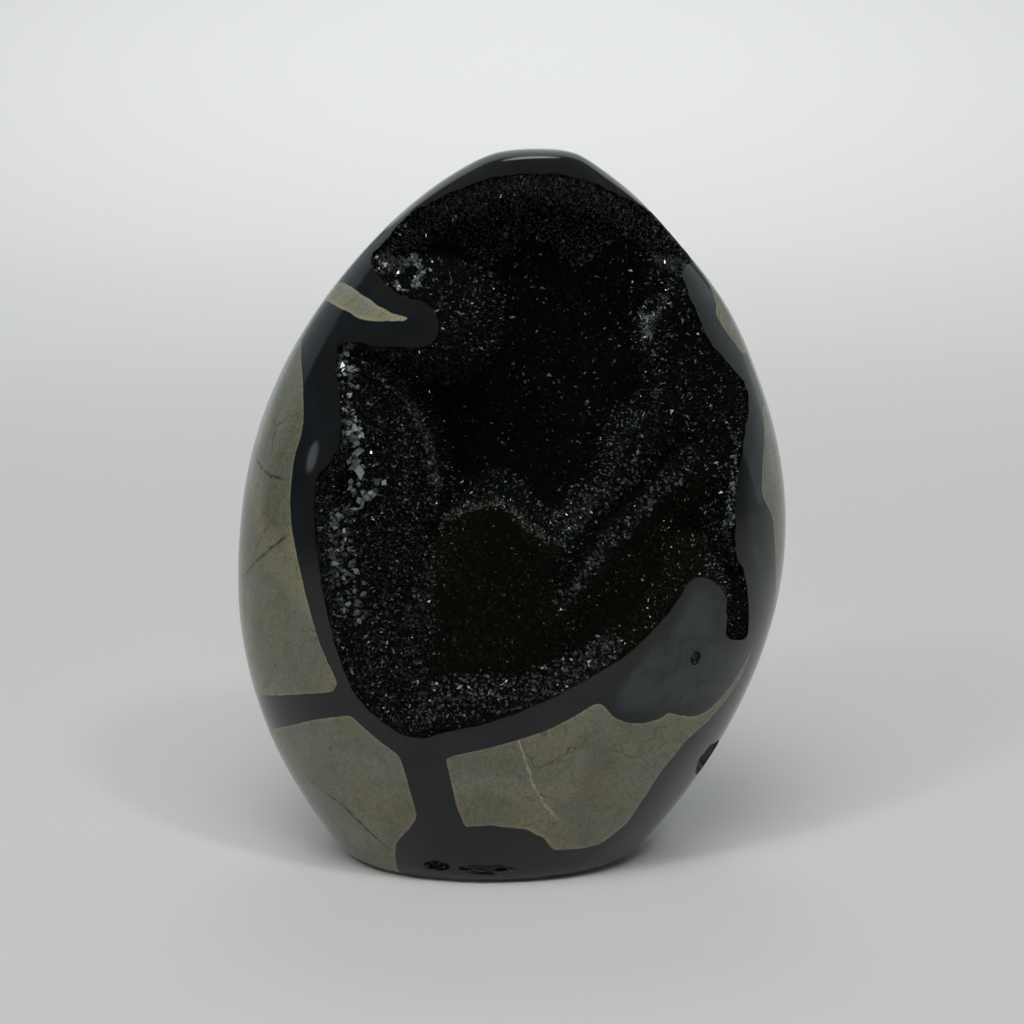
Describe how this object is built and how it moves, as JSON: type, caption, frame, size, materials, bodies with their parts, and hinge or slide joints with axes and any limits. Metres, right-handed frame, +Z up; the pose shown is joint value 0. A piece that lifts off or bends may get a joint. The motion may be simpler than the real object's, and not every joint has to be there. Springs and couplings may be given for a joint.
{
  "type": "polished septarian nodule",
  "caption": "Polished egg-shaped septarian nodule, with one open hollow lined by dark crystals, standing upright on a small flat.",
  "frame": {"origin": "on the flat that the nodule stands on, in its middle plane from front to back and midway between its sides", "axes": "+Z up from the flat to the tip, -Y out of the hollow, +X to the right of someone who looks into the hollow"},
  "size_m": [0.115, 0.0865, 0.15],
  "materials": {
    "polished_stone": "polished",
    "dark_crystals": "glossy crystal faces"
  },
  "bodies": {
    "root": {"nodule": "polished_stone", "crystal_crust": "dark_crystals"}
  },
  "joints": []
}
